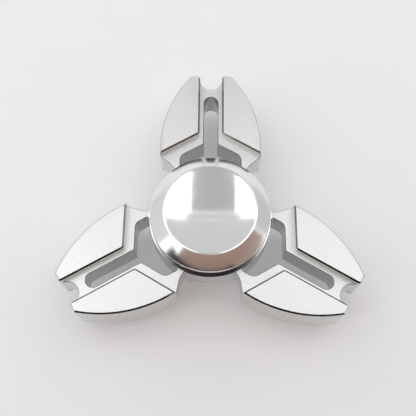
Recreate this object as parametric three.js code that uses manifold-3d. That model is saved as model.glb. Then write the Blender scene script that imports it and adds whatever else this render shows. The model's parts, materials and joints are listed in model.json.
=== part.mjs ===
// Three-claw metal fidget spinner, in millimetres, +Z along the spin axis.
// The origin is the centre of the bearing: on the spin axis, half way through the thickness.
import * as THREE from "three";
import { mergeVertices } from "three/addons/utils/BufferGeometryUtils.js";
import Module from "manifold-3d";

// Claw body: a 7 mm plate, with a pair of thicker pads on each claw.
const CLAWS = 3;
const CLAW_ANGLES = Array.from({ length: CLAWS }, (_, i) => Math.PI / 2 + (i * 2 * Math.PI) / CLAWS);
const PLATE_HALF = 3.5;
const PAD_HALF = 5.5;
const HUB_RADIUS = 14.4;
const CLAW_REACH = 37.4; // spin axis to the blunt tips
const CLAW_BACK_RADIUS = 30.45; // outer curve of a claw
const CLAW_BACK_CENTRE = new THREE.Vector2(17.7, -18.2);
const PAD_GAP_HALF = 2.8; // half the open channel between a claw's two pads
const PAD_SLANT = 19.7; // distance of a pad's slanted inner edge from the spin axis
const PAD_CORNER_RADIUS = 0.8;
const TIP_ROUNDING = 0.6; // both corners of a blunt tip
const NOTCH_BOTTOM = 34.45; // spin axis to the bottom of the round notch between the tips
const VALLEY_RADIUS = 4.5; // hollow curve where a claw leaves the hub
const VALLEY_CENTRE = new THREE.Vector2(16.4, 2.6); // along and across the line between two claws
const SLOT_HALF = 1.75;
const SLOT_END = 32.3;
const POCKET_SLANT = 17.5;
const POCKET_HALF = 7.4;
const POCKET_CORNER_RADIUS = 1.9;
const POCKET_END_RADIUS = 0.5; // where an end of the pocket runs into the hub's wall
const SLANT_ANGLE = Math.PI / 6; // direction of a slanted edge's normal from its claw's line

// 608 ball bearing: 22 mm outside, 8 mm bore, 7 mm wide, seven balls.
const BEARING_RADIUS = 11;
const BEARING_HALF = 3.5;
const BORE_RADIUS = 4;
const BALLS = 7;
const BALL_RADIUS = 1.984;
const PITCH_RADIUS = 7.5;
const RACE_RADIUS = 2.1; // section of the two ball grooves
const RACE_CLEARANCE = 0.1; // between a ball and the bottom of a groove
const INNER_LAND_RADIUS = 6.05;
const OUTER_LAND_RADIUS = 8.95;
const EDGE = 0.3; // chamfer on the corners of the rings
const SHIELD_INNER_RADIUS = 6.3;
const SHIELD_OUTER_RADIUS = 9.4;
const SHIELD_LOW = 2.92;
const SHIELD_THICKNESS = 0.35;
const SHIELD_SEAT_DEPTH = 0.08; // room around a shield's rim in its seat
const SHIELD_LIP_RADIUS = 9.2;
const CAGE_INNER_RADIUS = 6.8;
const CAGE_OUTER_RADIUS = 8.2;
const CAGE_THICKNESS = 0.3;
const CAGE_SPLIT_HALF = 0.03;
const POCKET_CLEARANCE = 0.16;
const RIVET_RADIUS = 0.3;
const RIVET_HEAD_RADIUS = 0.52;
const RIVET_HEAD_HEIGHT = 0.22;
const RIVET_DOME_RADIUS = 0.36; // where the head's rounded top begins
const RIVET_DOME_HEIGHT = 0.04;
const FIT_GAP = 0.03; // between pieces that are pressed or screwed together

// Finger buttons, one on each side, and the stud that screws them together.
const BUTTON_RADIUS = 14;
const BUTTON_UNDERSIDE = 5.5;
const BUTTON_FLANK_TOP = 6.46;
const BUTTON_FACE_RADIUS = 10.8;
const BUTTON_TOP = 9.1;
const BUTTON_LIP_WIDTH = 0.45;
const BUTTON_DISH_DEPTH = 0.4;
const BOSS_RADIUS = 5.6; // shoulder that bears on the inner ring
const SPIGOT_RADIUS = BORE_RADIUS - FIT_GAP;
const SPIGOT_END = 0.4;
const STUD_RADIUS = 2;
const STUD_HALF = 5;
const STUD_HOLE_END = 5.6;
const SOCKET_RADIUS = 1;
const SOCKET_DEPTH = 1.5;

const ROUND_SEGMENTS = 36;
const STUD_SEGMENTS = 18;
const SMALL_SEGMENTS = 8;
const BALL_SEGMENTS = [12, 8];
const CUT_MARGIN = 1; // how far a cutting solid reaches past what it cuts

const wasm = await Module();
wasm.setup();

const vec = (x, y) => new THREE.Vector2(x, y);
const turn = (point, angle) => point.clone().rotateAround(vec(0, 0), angle);
const mirror = (point) => vec(point.x, -point.y);

function arc(centre, radius, from, to, steps) {
  return Array.from({ length: steps + 1 }, (_, i) => {
    const angle = from + ((to - from) * i) / steps;
    return vec(centre.x + radius * Math.cos(angle), centre.y + radius * Math.sin(angle));
  });
}

// The point at which a slanted edge crosses a line parallel to the claw's own line.
const slantPoint = (offset, across) =>
  vec((offset - across * Math.sin(SLANT_ANGLE)) / Math.cos(SLANT_ANGLE), across);

// A closed profile (radius, height) turned about +Z. One that starts on the axis also ends there.
function turned(profile, segments = ROUND_SEGMENTS) {
  const onAxis = profile[0][0] === 0;
  const points = profile.map(([r, z]) => vec(r, z));
  const facesOut = THREE.ShapeUtils.area(points) > 0;
  if (!facesOut) points.reverse();
  if (!onAxis) points.push(points[0].clone());
  return new THREE.LatheGeometry(points, segments).rotateX(Math.PI / 2);
}

function slab(shape, low, high) {
  const geometry = new THREE.ExtrudeGeometry(shape, { depth: high - low, bevelEnabled: false });
  return geometry.translate(0, 0, low);
}

function solid(geometry) {
  const bare = geometry.clone();
  bare.deleteAttribute("normal");
  bare.deleteAttribute("uv");
  const merged = mergeVertices(bare, 1e-4);
  const corners = merged.index.array;
  const triVerts = [];
  for (let i = 0; i < corners.length; i += 3) {
    const [a, b, c] = corners.slice(i, i + 3);
    if (a !== b && b !== c && c !== a) triVerts.push(a, b, c);
  }
  const vertProperties = merged.attributes.position.array;
  const mesh = new wasm.Mesh({ numProp: 3, vertProperties, triVerts: new Uint32Array(triVerts) });
  return new wasm.Manifold(mesh);
}

function geometryOf(manifold) {
  const mesh = manifold.getMesh();
  const geometry = new THREE.BufferGeometry();
  geometry.setAttribute("position", new THREE.BufferAttribute(mesh.vertProperties, 3));
  geometry.setIndex(new THREE.BufferAttribute(mesh.triVerts, 1));
  return geometry;
}

// Where a pad's slanted inner edge meets the claw's outer curve.
function rearCorner() {
  const normal = vec(Math.cos(SLANT_ANGLE), Math.sin(SLANT_ANGLE));
  const along = vec(-normal.y, normal.x);
  const start = normal.clone().multiplyScalar(PAD_SLANT).sub(CLAW_BACK_CENTRE);
  const b = start.dot(along);
  const reach = Math.sqrt(b * b - start.lengthSq() + CLAW_BACK_RADIUS ** 2) - b;
  return normal.multiplyScalar(PAD_SLANT).addScaledVector(along, reach);
}

// Half of a claw's edge from its channel, round the blunt tip and back along the outer curve.
function tipToRear() {
  const inset = CLAW_REACH - TIP_ROUNDING;
  const along = inset - CLAW_BACK_CENTRE.x;
  const across = Math.sqrt((CLAW_BACK_RADIUS - TIP_ROUNDING) ** 2 - along ** 2);
  const outerCentre = vec(inset, CLAW_BACK_CENTRE.y + across);
  const bluntAngle = vec(along, across).angle();
  const rearAngle = rearCorner().sub(CLAW_BACK_CENTRE).angle();
  return [
    ...arc(vec(inset, PAD_GAP_HALF + TIP_ROUNDING), TIP_ROUNDING, -Math.PI / 2, 0, 3),
    ...arc(outerCentre, TIP_ROUNDING, 0, bluntAngle, 2),
    ...arc(CLAW_BACK_CENTRE, CLAW_BACK_RADIUS, bluntAngle, rearAngle, 10).slice(1),
  ];
}

// From the start of the hollow curve behind a claw to the line half way to the next claw.
function valleyToHub() {
  const meet = (VALLEY_CENTRE.lengthSq() + HUB_RADIUS ** 2 - VALLEY_RADIUS ** 2) / (2 * HUB_RADIUS);
  const hubAngle = VALLEY_CENTRE.angle() + Math.acos(meet / VALLEY_CENTRE.length());
  const end = vec(Math.cos(hubAngle), Math.sin(hubAngle)).multiplyScalar(HUB_RADIUS);
  const last = end.sub(VALLEY_CENTRE).angle();
  const curve = arc(VALLEY_CENTRE, VALLEY_RADIUS, Math.PI / 2, last, 4);
  const hub = arc(vec(0, 0), HUB_RADIUS, hubAngle, 0, 3).slice(1);
  const toClaw = (point) => turn(mirror(point), Math.PI / CLAWS);
  return [...curve, ...hub].map(toClaw);
}

// Half of the round notch, from its bottom to where a blunt tip's rounding begins.
function notchToTip() {
  const depth = CLAW_REACH - TIP_ROUNDING - NOTCH_BOTTOM;
  const radius = (PAD_GAP_HALF ** 2 + depth ** 2) / (2 * depth);
  const last = Math.PI - Math.asin(PAD_GAP_HALF / radius);
  return arc(vec(NOTCH_BOTTOM + radius, 0), radius, Math.PI, last, 5);
}

function plateOutline() {
  const half = [...notchToTip().slice(0, -1), ...tipToRear(), ...valleyToHub()];
  const claw = [...half.slice(1, -1).map(mirror).reverse(), ...half];
  return CLAW_ANGLES.flatMap((angle) => claw.map((point) => turn(point, angle)));
}

// The slot down a claw, opening into the pocket that runs round the hub.
function slotOutline() {
  const end = arc(vec(SLOT_END - SLOT_HALF, 0), SLOT_HALF, 0, Math.PI / 2, 4);
  const cornerCentre = slantPoint(
    POCKET_SLANT - POCKET_CORNER_RADIUS,
    POCKET_HALF - POCKET_CORNER_RADIUS,
  );
  const corner = arc(cornerCentre, POCKET_CORNER_RADIUS, SLANT_ANGLE, Math.PI / 2, 3);
  const endAcross = POCKET_HALF - POCKET_END_RADIUS;
  const endAlong = Math.sqrt((HUB_RADIUS + POCKET_END_RADIUS) ** 2 - endAcross ** 2);
  const endCentre = vec(endAlong, endAcross);
  const endArc = arc(endCentre, POCKET_END_RADIUS, Math.PI / 2, Math.PI + endCentre.angle(), 2);
  const hubArc = arc(vec(0, 0), HUB_RADIUS, endCentre.angle(), 0, 4).slice(1);
  const half = [...end, slantPoint(POCKET_SLANT, SLOT_HALF), ...corner, ...endArc, ...hubArc];
  return [...half, ...half.slice(1, -1).map(mirror).reverse()];
}

function padOutline() {
  const inset = PAD_SLANT + PAD_CORNER_RADIUS;
  const cornerCentre = slantPoint(inset, PAD_GAP_HALF + PAD_CORNER_RADIUS);
  const corner = arc(cornerCentre, PAD_CORNER_RADIUS, Math.PI + SLANT_ANGLE, 1.5 * Math.PI, 2);
  return [...corner, ...tipToRear()];
}

function clawBodyGeometry() {
  const plate = new THREE.Shape(plateOutline());
  const seat = arc(vec(0, 0), BEARING_RADIUS, 0, 2 * Math.PI, ROUND_SEGMENTS).slice(1);
  plate.holes.push(new THREE.Path(seat));
  let body = solid(slab(plate, -PLATE_HALF, PLATE_HALF));
  const pad = padOutline();
  const slot = new THREE.Shape(slotOutline());
  for (const angle of CLAW_ANGLES) {
    for (const outline of [pad, pad.map(mirror).reverse()]) {
      const shape = new THREE.Shape(outline.map((point) => turn(point, angle)));
      body = body.add(solid(slab(shape, -PAD_HALF, PAD_HALF)));
    }
    body = body.subtract(solid(slab(slot, -PAD_HALF, PAD_HALF).rotateZ(angle)));
  }
  return geometryOf(body);
}

// Half circle of a ball groove, seen in section. side is 1 for the outer ring and -1 for the inner.
function racePoints(landRadius, side) {
  const centre = vec(PITCH_RADIUS + side * (BALL_RADIUS + RACE_CLEARANCE - RACE_RADIUS), 0);
  const reach = Math.acos((side * (landRadius - centre.x)) / RACE_RADIUS);
  const points = arc(vec(0, 0), RACE_RADIUS, -reach, reach, 6);
  return points.map((point) => [centre.x + side * point.x, point.y]);
}

function outerRingGeometry() {
  const seat = SHIELD_OUTER_RADIUS + SHIELD_SEAT_DEPTH;
  const seatLow = SHIELD_LOW - FIT_GAP;
  const seatHigh = SHIELD_LOW + SHIELD_THICKNESS + FIT_GAP;
  const radius = BEARING_RADIUS - FIT_GAP;
  const upper = [
    [OUTER_LAND_RADIUS, seatLow],
    [seat, seatLow],
    [seat, seatHigh],
    [SHIELD_LIP_RADIUS, seatHigh],
    [SHIELD_LIP_RADIUS, BEARING_HALF],
    [radius - EDGE, BEARING_HALF],
    [radius, BEARING_HALF - EDGE],
  ];
  const lower = upper.map(([r, z]) => [r, -z]).reverse();
  return turned([...racePoints(OUTER_LAND_RADIUS, 1), ...upper, ...lower]);
}

function innerRingGeometry() {
  const upper = [
    [INNER_LAND_RADIUS, BEARING_HALF - EDGE / 2],
    [INNER_LAND_RADIUS - EDGE / 2, BEARING_HALF],
    [BORE_RADIUS + EDGE, BEARING_HALF],
    [BORE_RADIUS, BEARING_HALF - EDGE],
  ];
  const lower = upper.map(([r, z]) => [r, -z]).reverse();
  return turned([...racePoints(INNER_LAND_RADIUS, -1), ...upper, ...lower]);
}

// A pressed disc with a shallow raised rim, for the +Z side (1) or the -Z side (-1).
function shieldGeometry(side) {
  const top = SHIELD_LOW + SHIELD_THICKNESS;
  const rimWidth = 0.5;
  const step = 0.12;
  const profile = [
    [SHIELD_INNER_RADIUS, SHIELD_LOW - step],
    [SHIELD_OUTER_RADIUS - 2 * rimWidth, SHIELD_LOW - step],
    [SHIELD_OUTER_RADIUS - rimWidth, SHIELD_LOW],
    [SHIELD_OUTER_RADIUS, SHIELD_LOW],
    [SHIELD_OUTER_RADIUS, top],
    [SHIELD_OUTER_RADIUS - rimWidth, top],
    [SHIELD_OUTER_RADIUS - 2 * rimWidth, top - step],
    [SHIELD_INNER_RADIUS, top - step],
  ];
  return turned(profile.map(([r, z]) => [r, side * z]));
}

const ballAngle = (i) => Math.PI / 2 + (i * 2 * Math.PI) / BALLS;
const rivetAngle = (i) => ballAngle(i + 0.5);
const onPitch = (geometry, angle) =>
  geometry.translate(PITCH_RADIUS * Math.cos(angle), PITCH_RADIUS * Math.sin(angle), 0);

// One pressed ribbon: a flat ring that domes over every ball.
function cageHalfGeometry(side) {
  const innerSphere = BALL_RADIUS + POCKET_CLEARANCE;
  const outerSphere = innerSphere + CAGE_THICKNESS;
  const band = (low, high) =>
    solid(
      turned([
        [CAGE_INNER_RADIUS, low],
        [CAGE_OUTER_RADIUS, low],
        [CAGE_OUTER_RADIUS, high],
        [CAGE_INNER_RADIUS, high],
      ]),
    );
  const sphere = (radius, angle) =>
    solid(onPitch(new THREE.SphereGeometry(radius, ...BALL_SEGMENTS), angle));
  const webTop = CAGE_SPLIT_HALF + CAGE_THICKNESS;
  const above = band(CAGE_SPLIT_HALF, outerSphere + CUT_MARGIN);
  let ribbon = band(CAGE_SPLIT_HALF, webTop);
  for (let i = 0; i < BALLS; i += 1) {
    ribbon = ribbon.add(sphere(outerSphere, ballAngle(i)).intersect(above));
  }
  for (let i = 0; i < BALLS; i += 1) {
    const holeRadius = RIVET_RADIUS + FIT_GAP;
    const holeDepth = 2 * (webTop + CUT_MARGIN);
    const hole = new THREE.CylinderGeometry(holeRadius, holeRadius, holeDepth, SMALL_SEGMENTS);
    hole.rotateX(Math.PI / 2);
    ribbon = ribbon.subtract(sphere(innerSphere, ballAngle(i)));
    ribbon = ribbon.subtract(solid(onPitch(hole, rivetAngle(i))));
  }
  return side > 0 ? geometryOf(ribbon) : geometryOf(ribbon.rotate([180, 0, 180]));
}

function rivetGeometry() {
  const neck = CAGE_SPLIT_HALF + CAGE_THICKNESS + FIT_GAP;
  const half = [
    [RIVET_RADIUS, neck],
    [RIVET_HEAD_RADIUS, neck],
    [RIVET_DOME_RADIUS, neck + RIVET_HEAD_HEIGHT - RIVET_DOME_HEIGHT],
    [0, neck + RIVET_HEAD_HEIGHT],
  ];
  return turned([...half.map(([r, z]) => [r, -z]).reverse(), ...half], SMALL_SEGMENTS);
}

function buttonGeometry(side) {
  const lipInner = BUTTON_FACE_RADIUS - BUTTON_LIP_WIDTH;
  const dishSteps = 4;
  const dish = Array.from({ length: dishSteps }, (_, i) => {
    const r = (lipInner * (dishSteps - i)) / dishSteps;
    return [r, BUTTON_TOP - BUTTON_DISH_DEPTH * (1 - (r / lipInner) ** 2)];
  });
  const holeRadius = STUD_RADIUS + FIT_GAP;
  const profile = [
    [0, STUD_HOLE_END],
    [holeRadius, STUD_HOLE_END],
    [holeRadius, SPIGOT_END],
    [SPIGOT_RADIUS, SPIGOT_END],
    [SPIGOT_RADIUS, BEARING_HALF],
    [BOSS_RADIUS, BEARING_HALF],
    [BOSS_RADIUS, BUTTON_UNDERSIDE],
    [BUTTON_RADIUS, BUTTON_UNDERSIDE],
    [BUTTON_RADIUS, BUTTON_FLANK_TOP],
    [BUTTON_FACE_RADIUS, BUTTON_TOP],
    ...dish,
    [0, BUTTON_TOP - BUTTON_DISH_DEPTH],
  ];
  return turned(profile.map(([r, z]) => [r, side * z]));
}

// A grub screw with a socket in its upper end.
function studGeometry() {
  const chamfer = 0.3;
  return turned(
    [
      [0, -STUD_HALF],
      [STUD_RADIUS - chamfer, -STUD_HALF],
      [STUD_RADIUS, -STUD_HALF + chamfer],
      [STUD_RADIUS, STUD_HALF - chamfer],
      [STUD_RADIUS - chamfer, STUD_HALF],
      [SOCKET_RADIUS, STUD_HALF],
      [SOCKET_RADIUS, STUD_HALF - SOCKET_DEPTH],
      [0, STUD_HALF - SOCKET_DEPTH],
    ],
    STUD_SEGMENTS,
  );
}

const metal = (color, roughness) => new THREE.MeshStandardMaterial({ color, roughness, metalness: 1 });
const satinAluminium = metal(0xdcdcde, 0.42);
const polishedAluminium = metal(0xe8e8ea, 0.12);
const bearingSteel = metal(0xb9bcc0, 0.2);
const pressedSteel = metal(0xa6a9ad, 0.35);
const blackSteel = metal(0x3a3b3d, 0.45);

const spinner = new THREE.Group();
spinner.name = "fidget_spinner";

function piece(name, geometry, material) {
  const mesh = new THREE.Mesh(geometry, material);
  mesh.name = name;
  spinner.add(mesh);
  return mesh;
}

piece("claw_body", clawBodyGeometry(), satinAluminium);
piece("bearing_outer_ring", outerRingGeometry(), bearingSteel);
piece("bearing_inner_ring", innerRingGeometry(), bearingSteel);
piece("shield_top", shieldGeometry(1), pressedSteel);
piece("shield_bottom", shieldGeometry(-1), pressedSteel);
piece("cage_upper_half", cageHalfGeometry(1), pressedSteel);
piece("cage_lower_half", cageHalfGeometry(-1), pressedSteel);
for (let i = 0; i < BALLS; i += 1) {
  const ball = new THREE.SphereGeometry(BALL_RADIUS, ...BALL_SEGMENTS).rotateX(Math.PI / 2);
  piece(`ball_${i + 1}`, onPitch(ball, ballAngle(i)), bearingSteel);
  piece(`cage_rivet_${i + 1}`, onPitch(rivetGeometry(), rivetAngle(i)), pressedSteel);
}
piece("button_top", buttonGeometry(1), polishedAluminium);
piece("button_bottom", buttonGeometry(-1), polishedAluminium);
piece("centre_stud", studGeometry(), blackSteel);

export default spinner;
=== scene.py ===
"""Looks of a three-claw metal fidget spinner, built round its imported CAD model.

Constants are in millimetres unless they say otherwise, and MM turns them into metres. The scales of
noise textures are per metre.
"""

import json
import math

import bmesh
import bpy
from mathutils import Matrix, Vector


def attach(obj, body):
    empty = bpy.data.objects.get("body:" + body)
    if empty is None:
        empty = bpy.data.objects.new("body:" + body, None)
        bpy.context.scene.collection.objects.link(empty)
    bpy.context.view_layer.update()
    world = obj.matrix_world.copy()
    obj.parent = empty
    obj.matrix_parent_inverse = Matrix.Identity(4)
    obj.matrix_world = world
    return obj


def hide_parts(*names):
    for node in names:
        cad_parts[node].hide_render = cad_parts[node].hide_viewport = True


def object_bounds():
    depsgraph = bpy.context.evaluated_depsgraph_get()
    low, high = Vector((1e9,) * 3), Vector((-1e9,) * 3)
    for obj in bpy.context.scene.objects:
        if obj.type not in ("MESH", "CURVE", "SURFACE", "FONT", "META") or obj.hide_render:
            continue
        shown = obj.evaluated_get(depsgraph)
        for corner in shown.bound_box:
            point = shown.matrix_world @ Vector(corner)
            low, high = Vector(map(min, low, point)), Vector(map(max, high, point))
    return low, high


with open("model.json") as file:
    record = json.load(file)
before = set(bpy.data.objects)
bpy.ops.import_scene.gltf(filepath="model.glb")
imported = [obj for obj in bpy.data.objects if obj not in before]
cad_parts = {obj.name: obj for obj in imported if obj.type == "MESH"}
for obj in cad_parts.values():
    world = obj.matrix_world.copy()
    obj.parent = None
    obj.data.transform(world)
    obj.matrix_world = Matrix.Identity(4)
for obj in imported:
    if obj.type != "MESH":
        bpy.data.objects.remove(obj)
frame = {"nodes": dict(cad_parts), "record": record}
cad_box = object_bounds()

MM = 0.001

# Claw body. Places in the plane are (along, across) one claw, from the spin axis.
CLAWS = 3
FIRST_CLAW_ANGLE = math.pi / 2
PLATE_HALF = 3.5
PAD_HALF = 5.5
HUB_RADIUS = 14.4
BEARING_SEAT_RADIUS = 11.0
CLAW_REACH = 37.4
CLAW_BACK_RADIUS = 30.45
CLAW_BACK_CENTRE = (17.7, -18.2)
PAD_GAP_HALF = 2.8
PAD_SLANT = 19.7
PAD_CORNER_RADIUS = 0.8
TIP_ROUNDING = 0.6
NOTCH_BOTTOM = 34.45
VALLEY_RADIUS = 4.5
VALLEY_CENTRE = (16.4, 2.6)
SLOT_HALF = 1.75
SLOT_END = 32.3
POCKET_SLANT = 17.5
POCKET_HALF = 7.4
POCKET_CORNER_RADIUS = 1.9
POCKET_END_RADIUS = 0.5
SLANT_ANGLE = math.pi / 6
PAD_CHAMFER = 0.36
EDGE_BREAK_SHARE = 0.33  # the plate's edges are broken by this share of the pads' chamfer
CORNER_ANGLE = math.radians(60)  # edges that turn by less than this belong to a curve
LEVEL_MARGIN = 0.01  # points this close to a level lie on it
TOP, WALL, CUT, SHADED_WALL, SHADED_CUT = range(5)  # material slots; the last two hold darker copies of the metal, painted shade on inside walls and painted dark reflection on inner chamfers

# Finger buttons and stud.
BUTTON_RADIUS = 14.0
BUTTON_UNDERSIDE = 5.5
BUTTON_FLANK_TOP = 6.46
BUTTON_FACE_RADIUS = 10.8
BUTTON_TOP = 9.1
BUTTON_LIP_WIDTH = 0.28
BUTTON_DISH_DEPTH = 0.4
BOSS_RADIUS = 5.6
BORE_RADIUS = 4.0
FIT_GAP = 0.03
SPIGOT_END = 0.4
STUD_RADIUS = 2.0
STUD_HOLE_END = 5.6
DISH_STEPS = 24
TURN_STEPS = 192

# Camera.
LENS = 54.95
SENSOR_WIDTH = 36.0
CAMERA_DISTANCE = 148.1
CAMERA_ELEVATION = math.radians(69.37)
CAMERA_TURN = math.radians(0.51)
AIM = (-0.506, 1.578, PAD_HALF)

# Studio, in metres. Two level panels hang overhead, behind the object, with a narrow gap between them.
FLOOR_HALF = 3.0
WORLD_STRENGTH = 1.36
PANEL_SIZE = (0.60, 0.209)
PANEL_POWER = 0.24
PANEL_HEIGHT = 0.8
PANEL_BACK = 0.204
GAP_PLACE = -0.003
GAP_WIDTH = 0.047
PANEL_OFFSET = (PANEL_SIZE[0] + GAP_WIDTH) / 2
CARD_DISTANCE = 0.5
CARD_STEPS = 24

# Level cards: name, centre, size along X and Y, colour. The first two close the panels' gap.
LEVEL_CARDS = (
    ("gap_card", (GAP_PLACE, 0.199), (GAP_WIDTH, 0.20), (0.47, 0.47, 0.47)),
    ("gap_end", (GAP_PLACE, 0.3055), (0.058, 0.0095), (0.62, 0.62, 0.62)),
    ("zenith_card", (0.02, -0.06), (0.44, 0.32), (0.18, 0.18, 0.18)),
)

# Bent cards that stand round the object: name, azimuths and elevations in degrees, colour.
BENT_CARDS = (
    ("front_low", (-150, -58), (4, 21.5), (0.012, 0.010, 0.010)),
    ("front_low_right", (-58, -30), (2, 11), (0.012, 0.010, 0.010)),
    ("front_high", (-136, -8), (21.5, 60), (0.50, 0.36, 0.30)),
    ("front_right", (-58, -6), (11, 21.5), (0.50, 0.38, 0.32)),
    ("back", (62, 118), (30, 58), (0.27, 0.27, 0.28)),
    ("back_high", (30, 150), (58, 69), (0.84, 0.85, 0.85)),
    ("right_side", (-4, 60), (-4, 22), (0.76, 0.76, 0.76)),
    ("left_side", (120, 197), (-4, 24), (0.90, 0.90, 0.90)),
)


def arc(centre, radius, start, end, steps):
    """Points of a circular arc, both ends included."""
    points = []
    for i in range(steps + 1):
        angle = start + (end - start) * i / steps
        points.append((centre[0] + radius * math.cos(angle), centre[1] + radius * math.sin(angle)))
    return points


def slant_point(offset, across):
    """Where a slanted edge that far from the spin axis crosses a line parallel to the claw's."""
    return ((offset - across * math.sin(SLANT_ANGLE)) / math.cos(SLANT_ANGLE), across)


def rear_corner():
    """Where a pad's slanted inner edge meets the claw's outer curve."""
    normal = Vector((math.cos(SLANT_ANGLE), math.sin(SLANT_ANGLE)))
    along = Vector((-normal.y, normal.x))
    start = normal * PAD_SLANT - Vector(CLAW_BACK_CENTRE)
    middle = start.dot(along)
    reach = math.sqrt(middle**2 - start.length_squared + CLAW_BACK_RADIUS**2) - middle
    return normal * PAD_SLANT + along * reach


def notch_to_tip():
    """Half of the round notch, from its bottom to where a blunt tip's rounding begins."""
    depth = CLAW_REACH - TIP_ROUNDING - NOTCH_BOTTOM
    radius = (PAD_GAP_HALF**2 + depth**2) / (2 * depth)
    last = math.pi - math.asin(PAD_GAP_HALF / radius)
    return arc((NOTCH_BOTTOM + radius, 0), radius, math.pi, last, steps=18)


def tip_to_rear():
    """Half of a claw's edge, from its channel round the blunt tip and back along the outer curve."""
    inset = CLAW_REACH - TIP_ROUNDING
    along = inset - CLAW_BACK_CENTRE[0]
    across = math.sqrt((CLAW_BACK_RADIUS - TIP_ROUNDING) ** 2 - along**2)
    blunt_angle = math.atan2(across, along)
    rear = rear_corner() - Vector(CLAW_BACK_CENTRE)
    inner = arc((inset, PAD_GAP_HALF + TIP_ROUNDING), TIP_ROUNDING, -math.pi / 2, 0, steps=8)
    outer = arc((inset, CLAW_BACK_CENTRE[1] + across), TIP_ROUNDING, 0, blunt_angle, steps=6)
    back = arc(CLAW_BACK_CENTRE, CLAW_BACK_RADIUS, blunt_angle, math.atan2(rear.y, rear.x), steps=48)
    return inner + outer + back[1:]


def valley_to_hub():
    """From the start of the hollow curve behind a claw to the line between two claws."""
    centre = Vector(VALLEY_CENTRE)
    meet = (centre.length_squared + HUB_RADIUS**2 - VALLEY_RADIUS**2) / (2 * HUB_RADIUS)
    hub_angle = math.atan2(centre.y, centre.x) + math.acos(meet / centre.length)
    end = Vector((math.cos(hub_angle), math.sin(hub_angle))) * HUB_RADIUS - centre
    curve = arc(VALLEY_CENTRE, VALLEY_RADIUS, math.pi / 2, math.atan2(end.y, end.x), steps=14)
    hub = arc((0, 0), HUB_RADIUS, hub_angle, 0, steps=14)[1:]
    turn = Matrix.Rotation(math.pi / CLAWS, 2)
    return [tuple(turn @ Vector((x, -y))) for x, y in curve + hub]


def half_slot():
    """From the slot's outer end to where the pocket meets the line down the claw's middle."""
    end = arc((SLOT_END - SLOT_HALF, 0), SLOT_HALF, 0, math.pi / 2, steps=12)
    centre = slant_point(POCKET_SLANT - POCKET_CORNER_RADIUS, POCKET_HALF - POCKET_CORNER_RADIUS)
    corner = arc(centre, POCKET_CORNER_RADIUS, SLANT_ANGLE, math.pi / 2, steps=10)
    across = POCKET_HALF - POCKET_END_RADIUS
    end_centre = (math.sqrt((HUB_RADIUS + POCKET_END_RADIUS) ** 2 - across**2), across)
    hub_angle = math.atan2(across, end_centre[0])
    run_in = arc(end_centre, POCKET_END_RADIUS, math.pi / 2, math.pi + hub_angle, steps=6)
    hub = arc((0, 0), HUB_RADIUS, hub_angle, 0, steps=12)[1:]
    return end + [slant_point(POCKET_SLANT, SLOT_HALF)] + corner + run_in + hub


class Shell:
    """Collects points and faces, and gives points in the same place the same number."""

    def __init__(self):
        self.points, self.numbers, self.faces = [], {}, []

    def point(self, x, y, z):
        key = (round(x, 5), round(y, 5), round(z, 5))
        if key not in self.numbers:
            self.numbers[key] = len(self.points)
            self.points.append((x * MM, y * MM, z * MM))
        return self.numbers[key]

    def face(self, corners, material=0):
        ring = [self.point(*c) for c in corners]
        ring = [n for i, n in enumerate(ring) if n != ring[i - 1]]
        if len(ring) > 2:
            self.faces.append((ring, material))

    def mesh(self, name):
        """The collected faces as one mesh, all turned outward."""
        made = bpy.data.meshes.new(name)
        made.from_pydata(self.points, [], [ring for ring, _ in self.faces])
        for polygon, (_, material) in zip(made.polygons, self.faces):
            polygon.material_index = material
        made.validate()
        work = bmesh.new()
        work.from_mesh(made)
        bmesh.ops.recalc_face_normals(work, faces=work.faces)
        work.to_mesh(made)
        work.free()
        return made


def half_claw(shell, place):
    """One side of one claw with its share of the hub, from the claw's middle line to the next valley."""
    notch = notch_to_tip()
    outer = tip_to_rear()
    corner_centre = slant_point(PAD_SLANT + PAD_CORNER_RADIUS, PAD_GAP_HALF + PAD_CORNER_RADIUS)
    corner = arc(corner_centre, PAD_CORNER_RADIUS, 1.5 * math.pi, math.pi + SLANT_ANGLE, steps=8)
    inner = [outer[0]] + corner + [outer[-1]]
    valley = valley_to_hub()
    bearing = arc((0, 0), BEARING_SEAT_RADIUS, math.pi / CLAWS, 0, steps=24)
    slot = half_slot()
    ledge = notch[:-1] + inner + valley + bearing + slot[::-1]

    def wall(path, low, high, material):
        for (ax, ay), (bx, by) in zip(path, path[1:]):
            corners = [place(ax, ay, low), place(bx, by, low), place(bx, by, high), place(ax, ay, high)]
            shell.face(corners, material)

    def pad_wall(path):
        """The outer wall over its full height, with the plate's levels marked at both its ends."""
        levels = [-PAD_HALF, -PLATE_HALF, PLATE_HALF, PAD_HALF]
        for i, ((ax, ay), (bx, by)) in enumerate(zip(path, path[1:])):
            up = levels if i == len(path) - 2 else levels[::3]
            down = levels[::-1] if i == 0 else levels[::-3]
            corners = [place(bx, by, z) for z in up] + [place(ax, ay, z) for z in down]
            shell.face(corners, WALL)

    pad = outer + inner[-2:0:-1]
    for side in (1, -1):
        shell.face([place(x, y, side * PLATE_HALF) for x, y in ledge], TOP)
        shell.face([place(x, y, side * PAD_HALF) for x, y in pad], TOP)
    wall(inner[::-1], PLATE_HALF, PAD_HALF, SHADED_WALL)
    wall(inner[::-1], -PAD_HALF, -PLATE_HALF, SHADED_WALL)
    pad_wall(outer)
    wall(notch, -PLATE_HALF, PLATE_HALF, WALL)
    wall([outer[-1]] + valley, -PLATE_HALF, PLATE_HALF, WALL)
    wall(bearing, -PLATE_HALF, PLATE_HALF, SHADED_WALL)
    wall(slot[::-1], -PLATE_HALF, PLATE_HALF, SHADED_WALL)


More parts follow.
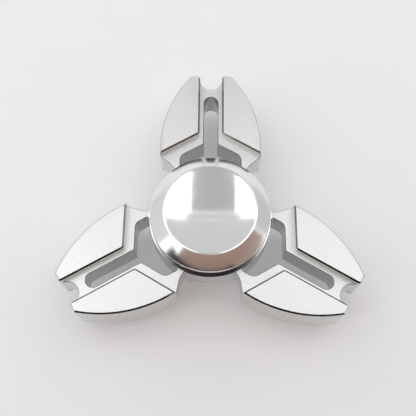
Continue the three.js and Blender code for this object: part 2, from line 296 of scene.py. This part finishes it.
def mark_chamfers(mesh):
    """Bevel weights: whole on the pads' rims, a share on the plate's outward edges."""
    work = bmesh.new()
    work.from_mesh(mesh)
    weight = work.edges.layers.float.new("bevel_weight_edge")
    for edge in work.edges:
        if len(edge.link_faces) != 2 or edge.calc_face_angle() < CORNER_ANGLE:
            continue
        heights = [abs(v.co.z) / MM for v in edge.verts]
        on_plate = all(abs(height - PLATE_HALF) < LEVEL_MARGIN for height in heights)
        if min(heights) > PAD_HALF - LEVEL_MARGIN:
            edge[weight] = 1.0
        elif edge.is_convex and on_plate:
            edge[weight] = EDGE_BREAK_SHARE
    work.to_mesh(mesh)
    work.free()


def mark_shaded_chamfers(mesh):
    """Chamfers that aren't on a claw's outer curve or blunt tips get the darker material, a near-black copy
    of the chamfer metal that paints in dark reflection.
    """
    back = Vector(CLAW_BACK_CENTRE)
    for polygon in mesh.polygons:
        if polygon.material_index != CUT:
            continue
        centre = Vector(polygon.center[:2]) / MM
        turns = round((math.atan2(centre.y, centre.x) - FIRST_CLAW_ANGLE) * CLAWS / (2 * math.pi))
        claw = Matrix.Rotation(-FIRST_CLAW_ANGLE - turns * 2 * math.pi / CLAWS, 2) @ centre
        claw.y = abs(claw.y)
        on_curve = (claw - back).length > CLAW_BACK_RADIUS - 2 * PAD_CHAMFER
        if not on_curve and claw.x < CLAW_REACH - 2 * PAD_CHAMFER:
            polygon.material_index = SHADED_CUT


def apply_modifiers(piece):
    """Leaves the piece with the mesh that its modifiers make."""
    depsgraph = bpy.context.evaluated_depsgraph_get()
    made = bpy.data.meshes.new_from_object(piece.evaluated_get(depsgraph))
    piece.modifiers.clear()
    piece.data = made


def new_object(name, data):
    """An object in the scene's own collection."""
    thing = bpy.data.objects.new(name, data)
    bpy.context.scene.collection.objects.link(thing)
    return thing


def add_piece(name, mesh, body, replaced, materials):
    """Puts a mesh in the scene in place of a CAD node."""
    for material in materials:
        mesh.materials.append(material)
    piece = new_object(name, mesh)
    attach(piece, body)
    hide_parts(replaced)
    return piece


def smooth(mesh, angle=30):
    """Smooth shading, with sharp edges where faces turn by more than the angle in degrees."""
    for polygon in mesh.polygons:
        polygon.use_smooth = True
    mesh.set_sharp_from_angle(angle=math.radians(angle))


def make_claw_body():
    """The three-claw plate with its pads, bright chamfers outside and darker ones inside; the darker inner
    chamfers are painted dark reflection, and the darker inside walls are painted shade.
    """
    shell = Shell()
    for i in range(CLAWS):
        angle = FIRST_CLAW_ANGLE + i * 2 * math.pi / CLAWS
        c, s = math.cos(angle), math.sin(angle)
        for across in (1, -1):

            def place(u, v, z, across=across, c=c, s=s):
                return (u * c - across * v * s, u * s + across * v * c, z)

            half_claw(shell, place)
    mesh = shell.mesh("claw_body_fine")
    mark_chamfers(mesh)
    outside = milled_aluminium("milled_aluminium", (0.66, 0.66, 0.65), (0.78, 0.78, 0.77))
    # A darker copy of the milled metal for the slot, bearing-seat and channel walls: painted shade in the
    # recesses.
    inside = milled_aluminium("slot_aluminium_painted_shade", (0.50, 0.51, 0.49), (0.62, 0.63, 0.61))
    bright = cut_aluminium("bright_chamfer", (0.58, 0.58, 0.58), (0.68, 0.68, 0.68))
    # A near-black copy of the chamfer metal for the inner chamfers: painted dark reflection.
    dark = cut_aluminium("dark_chamfer_painted_reflection", (0.20, 0.20, 0.20), (0.28, 0.28, 0.28))
    materials = [blasted_aluminium(), outside, bright, inside, dark]
    piece = add_piece("claw_body_fine", mesh, "rotor", "claw_body", materials)
    bevel = piece.modifiers.new("chamfers", "BEVEL")
    bevel.limit_method = "WEIGHT"
    bevel.width = PAD_CHAMFER * MM
    bevel.segments = 1
    bevel.use_clamp_overlap = False
    bevel.material = CUT
    apply_modifiers(piece)
    mark_shaded_chamfers(piece.data)
    smooth(piece.data)


def rounded_profile(corners, steps=5):
    """Corners are (radius, height, rounding). Each rounding replaces its corner by a small curve."""
    most = 0.49  # a rounding takes at most this share of an edge
    points = []
    for i, (r, z, rounding) in enumerate(corners):
        here = Vector((r, z))
        if rounding == 0 or i in (0, len(corners) - 1):
            points.append((r, z))
            continue
        before = Vector(corners[i - 1][:2]) - here
        after = Vector(corners[i + 1][:2]) - here
        a = here + before.normalized() * min(rounding, before.length * most)
        b = here + after.normalized() * min(rounding, after.length * most)
        for k in range(steps + 1):
            t = k / steps
            points.append(tuple(a * (1 - t) ** 2 + here * 2 * t * (1 - t) + b * t**2))
    return points


def turned_mesh(name, profile, side):
    """A profile of (radius, height) turned round the Z axis; side -1 gives the mirrored lower piece."""
    shell = Shell()
    for k in range(TURN_STEPS):
        a = 2 * math.pi * k / TURN_STEPS
        b = 2 * math.pi * (k + 1) / TURN_STEPS
        for (r0, z0), (r1, z1) in zip(profile, profile[1:]):
            corners = [
                (r0 * math.cos(a), r0 * math.sin(a), side * z0),
                (r0 * math.cos(b), r0 * math.sin(b), side * z0),
                (r1 * math.cos(b), r1 * math.sin(b), side * z1),
                (r1 * math.cos(a), r1 * math.sin(a), side * z1),
            ]
            shell.face(corners)
    mesh = shell.mesh(name)
    smooth(mesh)
    return mesh


def button_profile():
    """From the blind hole for the stud, under the rim, over the bevel and lip, to the dish's middle."""
    lip = BUTTON_FACE_RADIUS - BUTTON_LIP_WIDTH
    hole = STUD_RADIUS + FIT_GAP
    corners = [
        (0, STUD_HOLE_END, 0),
        (hole, STUD_HOLE_END, 0),
        (hole, SPIGOT_END, 0.1),
        (BORE_RADIUS - FIT_GAP, SPIGOT_END, 0.25),
        (BORE_RADIUS - FIT_GAP, PLATE_HALF, 0),
        (BOSS_RADIUS, PLATE_HALF, 0.1),
        (BOSS_RADIUS, BUTTON_UNDERSIDE, 0.3),
        (BUTTON_RADIUS, BUTTON_UNDERSIDE, 0.16),
        (BUTTON_RADIUS, BUTTON_FLANK_TOP, 0.14),
        (BUTTON_FACE_RADIUS, BUTTON_TOP, 0.1),
        (lip, BUTTON_TOP, 0.06),
    ]
    dish = []
    for i in range(1, DISH_STEPS + 1):
        r = lip * (1 - i / DISH_STEPS)
        dish.append((r, BUTTON_TOP - BUTTON_DISH_DEPTH * (1 - (r / lip) ** 2), 0))
    return rounded_profile(corners + dish)


def make_buttons():
    """The upper button, and the lower one as its mirror image."""
    material = turned_aluminium()
    for name, side in (("button_top", 1), ("button_bottom", -1)):
        mesh = turned_mesh(name + "_fine", button_profile(), side)
        add_piece(name + "_fine", mesh, "grip", name, [material])


class Nodes:
    """Short calls for making one material's nodes. Widths and depths are in millimetres."""

    def __init__(self, name):
        self.material = bpy.data.materials.new(name)
        self.material.use_nodes = True
        self.tree = self.material.node_tree
        self.shader = self.tree.nodes["Principled BSDF"]

    def add(self, kind, links=None, **settings):
        node = self.tree.nodes.new(kind)
        for key, value in settings.items():
            setattr(node, key, value)
        for socket, value in (links or {}).items():
            if isinstance(value, bpy.types.NodeSocket):
                self.tree.links.new(value, node.inputs[socket])
            else:
                node.inputs[socket].default_value = value
        return node

    def noise(self, position, scale, detail=2.0, roughness=0.5, dimensions="3D"):
        links = {"Scale": scale, "Detail": detail, "Roughness": roughness}
        links["W" if dimensions == "1D" else "Vector"] = position
        return self.add("ShaderNodeTexNoise", links, noise_dimensions=dimensions).outputs[0]

    def spread(self, value, new_low, new_high, low=0.3, high=0.7):
        """Maps a range of values, by default the one where most of a noise's values lie."""
        links = {"Value": value, "From Min": low, "From Max": high, "To Min": new_low, "To Max": new_high}
        return self.add("ShaderNodeMapRange", links).outputs[0]

    def step(self, distance, edge, width):
        """Rises from 0 to 1 over that width beyond the edge."""
        return self.spread(distance, 0, 1, edge * MM, (edge + width) * MM)

    def mix(self, share, first, second):
        return self.add("ShaderNodeMix", {0: share, 2: first, 3: second}).outputs[0]

    def bump(self, height, strength, depth, normal=None):
        links = {"Height": height, "Strength": strength, "Distance": depth * MM}
        if normal is not None:
            links["Normal"] = normal
        return self.add("ShaderNodeBump", links).outputs[0]

    def tint(self, value, dark, light):
        ramp = self.add("ShaderNodeValToRGB", {"Fac": value})
        ramp.color_ramp.elements[0].color = (*dark, 1)
        ramp.color_ramp.elements[1].color = (*light, 1)
        return ramp.outputs[0]

    def metal(self, color, roughness, normal, anisotropic=0.0):
        self.shader.inputs["Metallic"].default_value = 1.0
        self.shader.inputs["Anisotropic"].default_value = anisotropic
        self.tree.links.new(color, self.shader.inputs["Base Color"])
        self.tree.links.new(roughness, self.shader.inputs["Roughness"])
        self.tree.links.new(normal, self.shader.inputs["Normal"])
        return self.material


def object_position(nodes):
    return nodes.add("ShaderNodeTexCoord").outputs["Object"]


def axis_distance(nodes, position):
    """Distance from the spin axis."""
    parts = nodes.add("ShaderNodeSeparateXYZ", {"Vector": position})
    flat = nodes.add("ShaderNodeCombineXYZ", {"X": parts.outputs[0], "Y": parts.outputs[1]})
    return nodes.add("ShaderNodeVectorMath", {0: flat.outputs[0]}, operation="LENGTH").outputs["Value"]


def blasted_aluminium():
    """Bead-blasted flats: a dense fine grain with slightly uneven gloss, and a smooth hub."""
    nodes = Nodes("blasted_aluminium")
    position = object_position(nodes)
    grain = nodes.noise(position, 5200, 2.0, 0.6)
    specks = nodes.noise(position, 2900, 1.0, 0.5)
    patches = nodes.noise(position, 90, 2.0, 0.5)
    color = nodes.tint(nodes.spread(specks, 0, 1), (0.80, 0.80, 0.805), (0.90, 0.90, 0.90))
    hub_rough, claw_rough = 0.12, nodes.spread(patches, 0.42, 0.48)
    beyond_hub = nodes.step(axis_distance(nodes, position), HUB_RADIUS, 0.3)
    rough = nodes.mix(beyond_hub, hub_rough, claw_rough)
    normal = nodes.bump(specks, 0.20, 0.02, nodes.bump(grain, 0.35, 0.01))
    return nodes.metal(color, rough, normal)


def milled_aluminium(name, dark, light):
    """Walls cut by the side of a milling cutter: faint level lines, and smoother than the flats."""
    nodes = Nodes(name)
    position = object_position(nodes)
    height = nodes.add("ShaderNodeSeparateXYZ", {"Vector": position}).outputs[2]
    lines = nodes.noise(height, 9000, 2.0, 0.5, "1D")
    grain = nodes.noise(position, 3600, 2.0, 0.6)
    color = nodes.tint(nodes.spread(grain, 0, 1), dark, light)
    rough = nodes.spread(lines, 0.16, 0.24)
    normal = nodes.bump(lines, 0.12, 0.01, nodes.bump(grain, 0.15, 0.01))
    return nodes.metal(color, rough, normal)


def cut_aluminium(name, dark, light):
    """Chamfers left by a diamond cutter: glossy, and faintly uneven."""
    nodes = Nodes(name)
    position = object_position(nodes)
    marks = nodes.noise(position, 900, 2.0, 0.5)
    color = nodes.tint(marks, dark, light)
    rough = nodes.spread(marks, 0.10, 0.18)
    return nodes.metal(color, rough, nodes.bump(marks, 0.05, 0.01))


def turned_aluminium():
    """Turned on a lathe, with fine rings: polished on the face and softer on the bevel and flank."""
    nodes = Nodes("turned_aluminium")
    position = object_position(nodes)
    radius = axis_distance(nodes, position)
    rings = nodes.noise(radius, 7000, 3.0, 0.6, "1D")
    smears = nodes.noise(position, 260, 2.0, 0.5)
    color = nodes.tint(nodes.spread(rings, 0, 1), (0.82, 0.82, 0.825), (0.94, 0.94, 0.945))
    face = nodes.spread(smears, 0.03, 0.05)
    bevel = nodes.spread(smears, 0.13, 0.20)
    beyond_face = nodes.step(radius, BUTTON_FACE_RADIUS, 0.2)
    rough = nodes.mix(beyond_face, face, bevel)
    normal = nodes.bump(rings, 0.03, 0.004)
    tangent = nodes.add("ShaderNodeTangent", direction_type="RADIAL", axis="Z")
    nodes.tree.links.new(tangent.outputs[0], nodes.shader.inputs["Tangent"])
    return nodes.metal(color, rough, normal, anisotropic=0.5)


def bearing_steel():
    """Ground and polished bearing steel."""
    nodes = Nodes("bearing_steel_fine")
    position = object_position(nodes)
    marks = nodes.noise(position, 1800, 2.0, 0.5)
    color = nodes.tint(marks, (0.60, 0.61, 0.63), (0.70, 0.71, 0.72))
    rough = nodes.spread(marks, 0.12, 0.2)
    return nodes.metal(color, rough, nodes.bump(marks, 0.05, 0.01))


def pressed_steel():
    """Sheet steel, pressed: a soft uneven gloss."""
    nodes = Nodes("pressed_steel_fine")
    position = object_position(nodes)
    marks = nodes.noise(position, 700, 3.0, 0.55)
    color = nodes.tint(marks, (0.50, 0.51, 0.52), (0.62, 0.63, 0.64))
    rough = nodes.spread(marks, 0.26, 0.38)
    return nodes.metal(color, rough, nodes.bump(marks, 0.12, 0.02))


def black_steel():
    """Black oxide on a grub screw, rubbed brighter in places."""
    nodes = Nodes("black_steel_fine")
    position = object_position(nodes)
    marks = nodes.noise(position, 900, 3.0, 0.6)
    color = nodes.tint(nodes.spread(marks, 0, 1, 0.35, 0.75), (0.02, 0.02, 0.022), (0.09, 0.09, 0.09))
    rough = nodes.spread(marks, 0.38, 0.55)
    return nodes.metal(color, rough, nodes.bump(marks, 0.15, 0.02))


def finish_cad_nodes():
    """Better materials for the pieces that keep their CAD shape."""
    slots = {"bearing_steel": bearing_steel(), "pressed_steel": pressed_steel(), "black_steel": black_steel()}
    slot_of = {row["node"]: row["material_slot"] for row in frame["record"]["subparts"]}
    for name, node in frame["nodes"].items():
        material = slots.get(slot_of[name])
        if material is None:
            continue
        for slot in node.material_slots:
            slot.material = material
        smooth(node.data, angle=40)


def floor_material():
    """A pale matt table with a faint glow that lightens the shadows."""
    nodes = Nodes("table_top")
    position = object_position(nodes)
    mottle = nodes.noise(position, 14, 3.0, 0.5)
    color = nodes.tint(mottle, (0.775, 0.787, 0.795), (0.800, 0.812, 0.820))
    nodes.tree.links.new(color, nodes.shader.inputs["Base Color"])
    nodes.shader.inputs["Roughness"].default_value = 0.6
    nodes.shader.inputs["Specular IOR Level"].default_value = 0.2
    nodes.shader.inputs["Emission Color"].default_value = (1.0, 0.99, 0.985, 1)
    nodes.shader.inputs["Emission Strength"].default_value = 0.11
    return nodes.material


def level_corners(centre, half_width, half_depth, height):
    """Corners of a level rectangle."""
    corners = []
    for x, y in ((-1, -1), (1, -1), (1, 1), (-1, 1)):
        corners.append((centre[0] + x * half_width, centre[1] + y * half_depth, height))
    return corners


def make_floor():
    """The table top, at the height of the lower button's lip."""
    mesh = bpy.data.meshes.new("floor")
    mesh.from_pydata(level_corners((0, 0), FLOOR_HALF, FLOOR_HALF, cad_box[0].z), [], [(0, 1, 2, 3)])
    mesh.materials.append(floor_material())
    new_object("floor", mesh)


def add_panel(side):
    """One of the two level lamps overhead, left of the gap for -1 and right of it for 1."""
    lamp = bpy.data.lights.new("panel", "AREA")
    lamp.shape = "RECTANGLE"
    lamp.size, lamp.size_y = PANEL_SIZE
    lamp.energy = PANEL_POWER
    panel = new_object("panel", lamp)
    panel.location = (GAP_PLACE + side * PANEL_OFFSET, PANEL_BACK, PANEL_HEIGHT)
    panel.visible_camera = False


def add_card(name, corners, faces, color):
    """A dull card that the metal mirrors and no camera sees."""
    mesh = bpy.data.meshes.new(name)
    mesh.from_pydata(corners, [], faces)
    nodes = Nodes(name)
    nodes.shader.inputs["Base Color"].default_value = (*color, 1)
    nodes.shader.inputs["Roughness"].default_value = 1.0
    nodes.shader.inputs["Specular IOR Level"].default_value = 0.0
    mesh.materials.append(nodes.material)
    card = new_object(name, mesh)
    card.visible_camera = False
    card.visible_shadow = False


def add_level_card(name, centre, size, color):
    """A card beside the overhead panels, at their height."""
    corners = level_corners(centre, size[0] / 2, size[1] / 2, PANEL_HEIGHT)
    add_card(name, corners, [(0, 1, 2, 3)], color)


def add_bent_card(name, turns, heights, color):
    """A card bent round the object, between two azimuths and two elevations in degrees."""
    corners = []
    for i in range(CARD_STEPS + 1):
        turn = math.radians(turns[0] + (turns[1] - turns[0]) * i / CARD_STEPS)
        for height in heights:
            rise = math.radians(height)
            flat = CARD_DISTANCE * math.cos(rise)
            corners.append((flat * math.cos(turn), flat * math.sin(turn), CARD_DISTANCE * math.sin(rise)))
    faces = [(2 * i, 2 * i + 2, 2 * i + 3, 2 * i + 1) for i in range(CARD_STEPS)]
    add_card(name, corners, faces, color)


def make_lights():
    """An even pale surround, two panels, and the cards that the metal mirrors."""
    world = bpy.data.worlds.new("studio")
    world.use_nodes = True
    background = world.node_tree.nodes["Background"]
    background.inputs["Color"].default_value = (1.0, 1.0, 1.0, 1)
    background.inputs["Strength"].default_value = WORLD_STRENGTH
    bpy.context.scene.world = world
    for side in (-1, 1):
        add_panel(side)
    for card in LEVEL_CARDS:
        add_level_card(*card)
    for card in BENT_CARDS:
        add_bent_card(*card)


def make_camera():
    """Looks down at the spinner from the front."""
    data = bpy.data.cameras.new("camera")
    data.lens = LENS
    data.sensor_width = SENSOR_WIDTH
    data.clip_start, data.clip_end = 0.01, 20.0
    camera = new_object("camera", data)
    level = math.cos(CAMERA_ELEVATION)
    away = Vector((math.sin(CAMERA_TURN) * level, -math.cos(CAMERA_TURN) * level, math.sin(CAMERA_ELEVATION)))
    camera.location = Vector(AIM) * MM + away * CAMERA_DISTANCE * MM
    camera.rotation_mode = "QUATERNION"
    camera.rotation_quaternion = away.to_track_quat("Z", "Y")
    bpy.context.scene.camera = camera


make_camera()
make_lights()
make_floor()
make_claw_body()
make_buttons()
finish_cad_nodes()
bpy.context.scene.view_settings.view_transform = "Standard"
